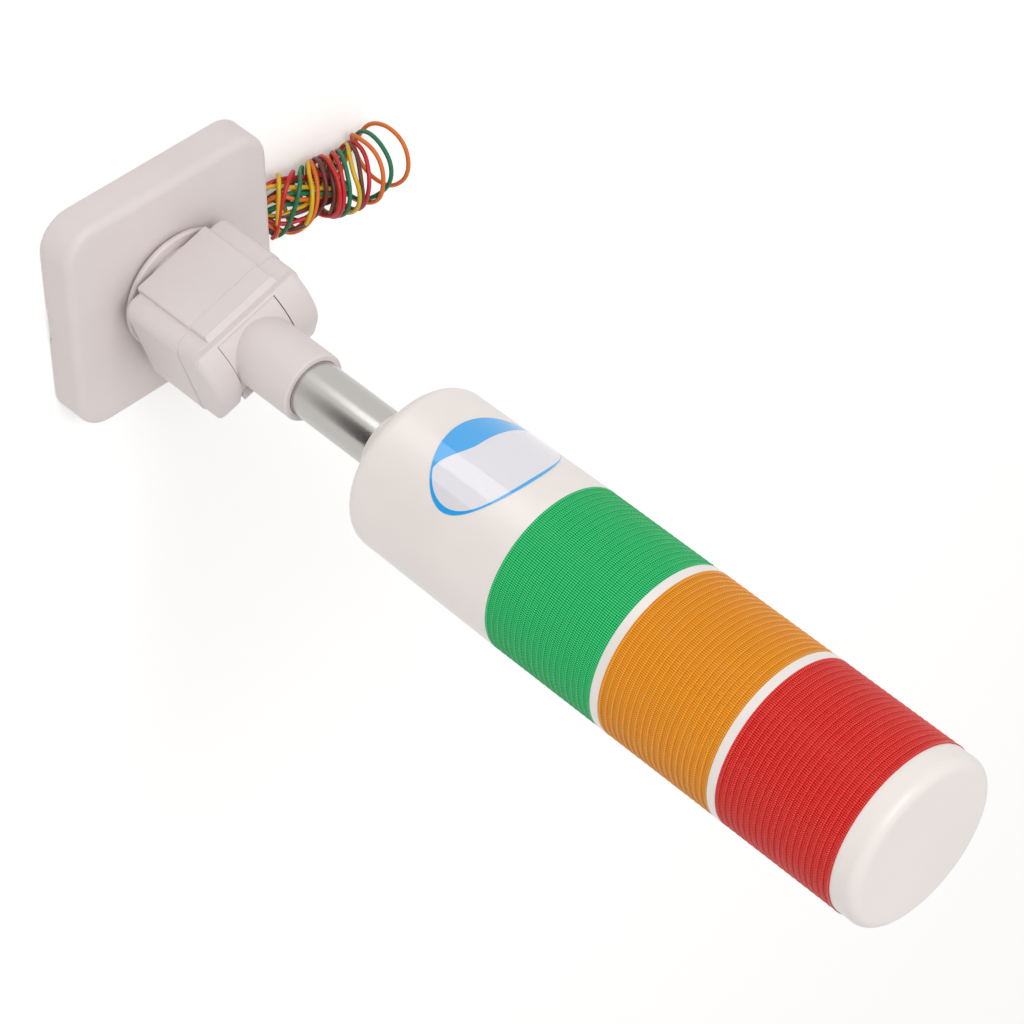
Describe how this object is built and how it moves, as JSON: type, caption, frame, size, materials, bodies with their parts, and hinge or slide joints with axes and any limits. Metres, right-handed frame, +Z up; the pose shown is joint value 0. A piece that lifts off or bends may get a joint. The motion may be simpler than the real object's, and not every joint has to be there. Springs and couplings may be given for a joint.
{
  "type": "stack light",
  "caption": "Slim stack light with ribbed colour lenses over a white housing, on an aluminium pole with a folding, swivelling bracket, a square screw-down base and a hank of free wires.",
  "frame": {"origin": "centre of the square base, on the surface it is screwed to", "axes": "+Z up the pole towards the cap; +X across the base, away from the side where the wires leave; the label is on the -Y side"},
  "size_m": [0.1171, 0.071, 0.289],
  "materials": {
    "white_abs": "fine satin moulded ABS, off-white",
    "aluminium_tube": "drawn and anodised, satin",
    "zinc_steel": "bright zinc plating",
    "nylon": "plain nylon",
    "green_lens": "translucent green polycarbonate, fine outer ribs",
    "amber_lens": "translucent amber polycarbonate, fine outer ribs",
    "red_lens": "translucent red polycarbonate, fine outer ribs",
    "circuit_board": "white solder mask on glass-filled board",
    "led_epoxy": "clear yellowish resin",
    "components": "black moulded components",
    "seal_rubber": "black nitrile rubber",
    "label_film": "glossy printed film, pale with a blue crescent, no text",
    "wire_yellow": "PVC insulation",
    "wire_red": "PVC insulation",
    "wire_green": "PVC insulation",
    "wire_orange": "PVC insulation",
    "wire_brown": "PVC insulation",
    "hank": "five PVC insulated wires wound loosely together"
  },
  "bodies": {
    "base": {"base_cover": "white_abs", "mounting_base": "white_abs", "wire_yellow": "wire_yellow", "wire_red": "wire_red", "wire_green": "wire_green", "wire_orange": "wire_orange", "wire_brown": "wire_brown", "wire_hank": "hank"},
    "bracket": {"bracket_body": "white_abs", "bracket_cover": "white_abs", "bracket_screws": "zinc_steel", "hinge_bolt": "zinc_steel", "hinge_nut": "zinc_steel", "hinge_washers": "nylon", "swivel_stud": "zinc_steel", "swivel_nut": "zinc_steel", "swivel_washer": "nylon"},
    "lamp": {"pole_holder": "white_abs", "pole_tube": "aluminium_tube", "pole_washer": "zinc_steel", "pole_locknut": "zinc_steel", "lamp_housing": "white_abs", "rating_label": "label_film", "driver_board": "circuit_board", "driver_components": "components", "base_disc": "white_abs", "divider_disc_lower": "white_abs", "divider_disc_upper": "white_abs", "lens_seals": "seal_rubber", "cap": "white_abs", "tie_rods": "zinc_steel", "tie_rod_nuts": "zinc_steel", "lens_green": "green_lens", "lamp_board_green": "circuit_board", "led_post_green": "circuit_board", "leds_green": "led_epoxy", "lens_amber": "amber_lens", "lamp_board_amber": "circuit_board", "led_post_amber": "circuit_board", "leds_amber": "led_epoxy", "lens_red": "red_lens", "lamp_board_red": "circuit_board", "led_post_red": "circuit_board", "leds_red": "led_epoxy"}
  },
  "joints": [
    {"name": "swivel", "type": "hinge", "parent": "base", "child": "bracket", "pos_m": [0, 0, 0.0142], "axis": [0, 0, 1], "range_deg": [-120, 30]},
    {"name": "fold", "type": "hinge", "parent": "bracket", "child": "lamp", "pos_m": [0, 0, 0.032], "axis": [-0.9588, -0.284, 0], "range_deg": [0, 90]}
  ]
}
